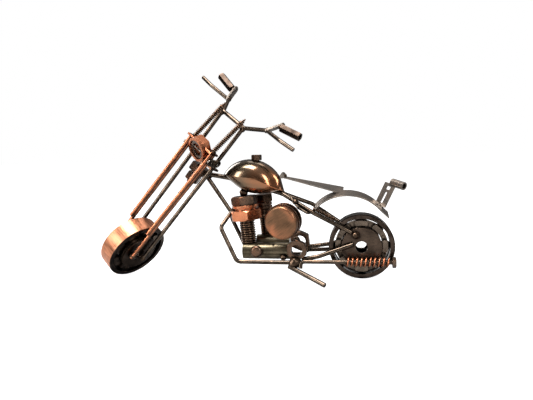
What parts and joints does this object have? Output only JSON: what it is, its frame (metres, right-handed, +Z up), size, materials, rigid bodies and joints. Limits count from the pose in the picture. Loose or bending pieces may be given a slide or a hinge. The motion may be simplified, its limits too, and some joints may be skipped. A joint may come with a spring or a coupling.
{
  "type": "motorcycle ornament",
  "caption": "Chopper motorcycle ornament welded from ball bearings, nuts, bolts, washers and bent wire, with a steering fork and turning bearing wheels on a fixed side stand.",
  "frame": {"origin": "centre of the rear wheel, on the rear axle line, at the middle of the hub hole", "axes": "+X to the bike's rear, +Y to its right along the rear axle, +Z up; the floor is 23.5 mm below the origin"},
  "size_m": [0.2264, 0.0697, 0.1582],
  "materials": {
    "copper_rim": "copper-plated steel, brushed",
    "antique_bronze": "dark antique bronze plate, rubbed back on the edges",
    "black_bronze": "blackened bronze plate in the recesses",
    "polished_bronze": "polished bronze-toned plate"
  },
  "bodies": {
    "frame": {"air_cleaner_base": "black_bronze", "air_cleaner_cover": "copper_rim", "air_cleaner_ring": "antique_bronze", "backbone_wires": "antique_bronze", "chain_stays": "antique_bronze", "crankcase": "antique_bronze", "crankcase_rivet": "antique_bronze", "down_tube": "antique_bronze", "drive_nuts": "antique_bronze", "fender": "antique_bronze", "fender_strut": "antique_bronze", "frame_weld_beads": "antique_bronze", "front_cylinder_bolt": "antique_bronze", "front_cylinder_nut": "copper_rim", "front_cylinder_washers": "copper_rim", "fuel_cap": "antique_bronze", "fuel_tank_left": "polished_bronze", "fuel_tank_right": "polished_bronze", "gearbox": "black_bronze", "kickstand": "antique_bronze", "left_exhaust_rod": "antique_bronze", "left_exhaust_spring": "copper_rim", "lower_rails": "antique_bronze", "neck_nut": "black_bronze", "rear_cylinder_bolt": "black_bronze", "rear_cylinder_washers": "black_bronze", "rear_hub_washers": "antique_bronze", "rear_inner_ring": "antique_bronze", "right_exhaust_rod": "black_bronze", "seat_plate": "antique_bronze", "sissy_strap": "antique_bronze", "tank_seam_plate": "antique_bronze", "threaded_stay": "antique_bronze"},
    "fork": {"bar_end_links": "antique_bronze", "crown_links": "antique_bronze", "crown_plate": "copper_rim", "fork_screws": "antique_bronze", "fork_sleeves": "copper_rim", "fork_weld_beads": "antique_bronze", "front_fork_legs": "copper_rim", "front_hub_washers": "antique_bronze", "front_inner_ring": "antique_bronze", "handlebar": "antique_bronze", "headlamp_nut": "copper_rim", "headlamp_washer": "antique_bronze", "left_grip": "antique_bronze", "left_lever": "antique_bronze", "lock_nut": "black_bronze", "rear_fork_legs": "antique_bronze", "right_grip": "antique_bronze", "right_lever": "antique_bronze", "stem_bolt": "black_bronze", "stem_bridge": "black_bronze"},
    "front_wheel": {"front_outer_ring": "copper_rim"},
    "rear_wheel": {"rear_outer_ring": "antique_bronze"},
    "front_ball_cage": {"front_cage": "black_bronze", "front_balls": "polished_bronze"},
    "rear_ball_cage": {"rear_cage": "black_bronze", "rear_balls": "polished_bronze"}
  },
  "joints": [
    {"name": "steering", "type": "hinge", "parent": "frame", "child": "fork", "pos_m": [-0.12375, 0, 0.05566], "axis": [0.6211, 0, 0.7837], "range_deg": [-144, 10]},
    {"name": "front_wheel_spin", "type": "hinge", "parent": "fork", "child": "front_wheel", "pos_m": [-0.17398, -0.01106, -0.00023], "axis": [0.7225, -0.3875, -0.5726], "continuous": true},
    {"name": "rear_wheel_spin", "type": "hinge", "parent": "frame", "child": "rear_wheel", "pos_m": [0, 0, 0], "axis": [0, -1, 0], "continuous": true},
    {"name": "front_cage_spin", "type": "hinge", "parent": "fork", "child": "front_ball_cage", "pos_m": [-0.17398, -0.01106, -0.00023], "axis": [0.7225, -0.3875, -0.5726], "continuous": true},
    {"name": "rear_cage_spin", "type": "hinge", "parent": "frame", "child": "rear_ball_cage", "pos_m": [0, 0, 0], "axis": [0, -1, 0], "continuous": true}
  ],
  "couplings": [
    {"joint": "front_cage_spin", "follows": "front_wheel_spin", "ratio": 0.6185},
    {"joint": "rear_cage_spin", "follows": "rear_wheel_spin", "ratio": 0.6185}
  ]
}
